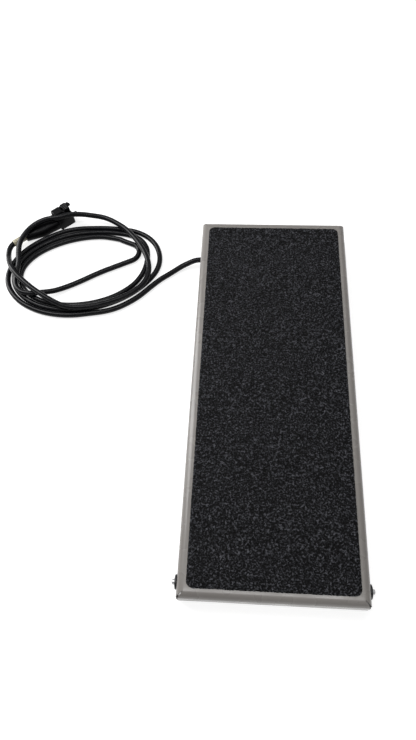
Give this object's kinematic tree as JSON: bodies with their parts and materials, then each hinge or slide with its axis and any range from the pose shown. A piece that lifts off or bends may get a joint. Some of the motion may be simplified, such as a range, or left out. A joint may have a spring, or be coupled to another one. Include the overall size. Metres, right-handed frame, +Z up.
{
  "type": "treadle foot switch",
  "caption": "Hinged folded-steel treadle with a grit mat over a low base, working a snap-action switch; its black cable ends in a latched plug.",
  "frame": {"origin": "middle of the treadle's footprint, on the plane the rubber sheet under the base stands on", "axes": "+X to the right as seen from the heel, +Y from the hinged heel to the toe, +Z up"},
  "size_m": [0.3245, 0.3638, 0.0276],
  "materials": {
    "treadle_paint": "satin grey paint on folded steel",
    "grit_mat": "coarse black grit",
    "base_zinc": "dull zinc plate on folded steel",
    "bright_steel": "bright, fine turned",
    "black_steel": "black finished spring steel",
    "black_rubber": "matt moulded",
    "nylon": "natural nylon",
    "switch_black": "matt moulded",
    "plunger_red": "moulded",
    "contact_brass": "rolled strip",
    "cable_black": "semi-gloss cable jacket",
    "lead_brown": "insulation",
    "lead_blue": "insulation",
    "lead_grey": "insulation",
    "sleeve_ivory": "plain ivory tube",
    "plug_black": "satin moulded",
    "seal_orange": "soft moulded"
  },
  "bodies": {
    "base": {"base_tray": "base_zinc", "base_pad": "black_rubber", "hinge_bush_left": "nylon", "hinge_bush_right": "nylon", "mounting_nuts": "bright_steel", "return_spring_left": "bright_steel", "return_spring_right": "bright_steel", "spring_cups": "switch_black", "bump_stops": "black_rubber", "switch_case": "switch_black", "switch_cover": "switch_black", "switch_terminals": "contact_brass", "lever_pin": "bright_steel", "switch_bracket": "base_zinc", "switch_screws": "bright_steel", "bracket_screws": "bright_steel", "cable_grommet": "black_rubber", "cable_tail": "cable_black", "cable_clamp": "switch_black", "clamp_screw": "bright_steel", "lead_common": "lead_brown", "lead_open": "lead_blue", "lead_closed": "lead_grey", "cable_lead": "cable_black", "cable_coil": "cable_black", "cable_chord": "cable_black", "cable_end": "cable_black", "marker_sleeve": "sleeve_ivory", "connector_boot": "plug_black", "connector_housing": "plug_black", "connector_latch": "plug_black", "connector_terminals": "contact_brass", "connector_seal": "seal_orange"},
    "treadle": {"treadle_tray": "treadle_paint", "grip_mat": "grit_mat", "hinge_rod": "bright_steel", "rod_retainer_left": "black_steel", "rod_retainer_right": "black_steel", "actuator_stud": "bright_steel", "actuator_cap": "nylon", "spring_bosses": "bright_steel"},
    "plunger": {"switch_plunger": "plunger_red"},
    "lever": {"switch_lever": "bright_steel"},
    "blade": {"snap_blade": "contact_brass"}
  },
  "joints": [
    {"name": "treadle_hinge", "type": "hinge", "parent": "base", "child": "treadle", "pos_m": [0, -0.152, 0.0101], "axis": [1, 0, 0], "range_deg": [-1.35, 0], "stiffness_Nm_per_rad": 142, "springref_deg": 0.89, "deforming": ["return_spring_left", "return_spring_right"]},
    {"name": "lever_pivot", "type": "hinge", "parent": "base", "child": "lever", "pos_m": [0.006, -0.008, 0.01355], "axis": [1, 0, 0], "range_deg": [-11.08, 0]},
    {"name": "plunger_slide", "type": "slide", "parent": "base", "child": "plunger", "axis": [0, 0, 1], "range_m": [-0.000981, 0]},
    {"name": "blade_pivot", "type": "hinge", "parent": "base", "child": "blade", "pos_m": [0.006, 0.0076, 0.0095], "axis": [1, 0, 0], "range_deg": [0, 5.36]}
  ],
  "couplings": [
    {"joint": "lever_pivot", "follows": "treadle_hinge", "ratio": 8.2},
    {"joint": "plunger_slide", "follows": "treadle_hinge", "m_per_rad": 0.04156},
    {"joint": "blade_pivot", "follows": "treadle_hinge", "ratio": -3.9639}
  ]
}
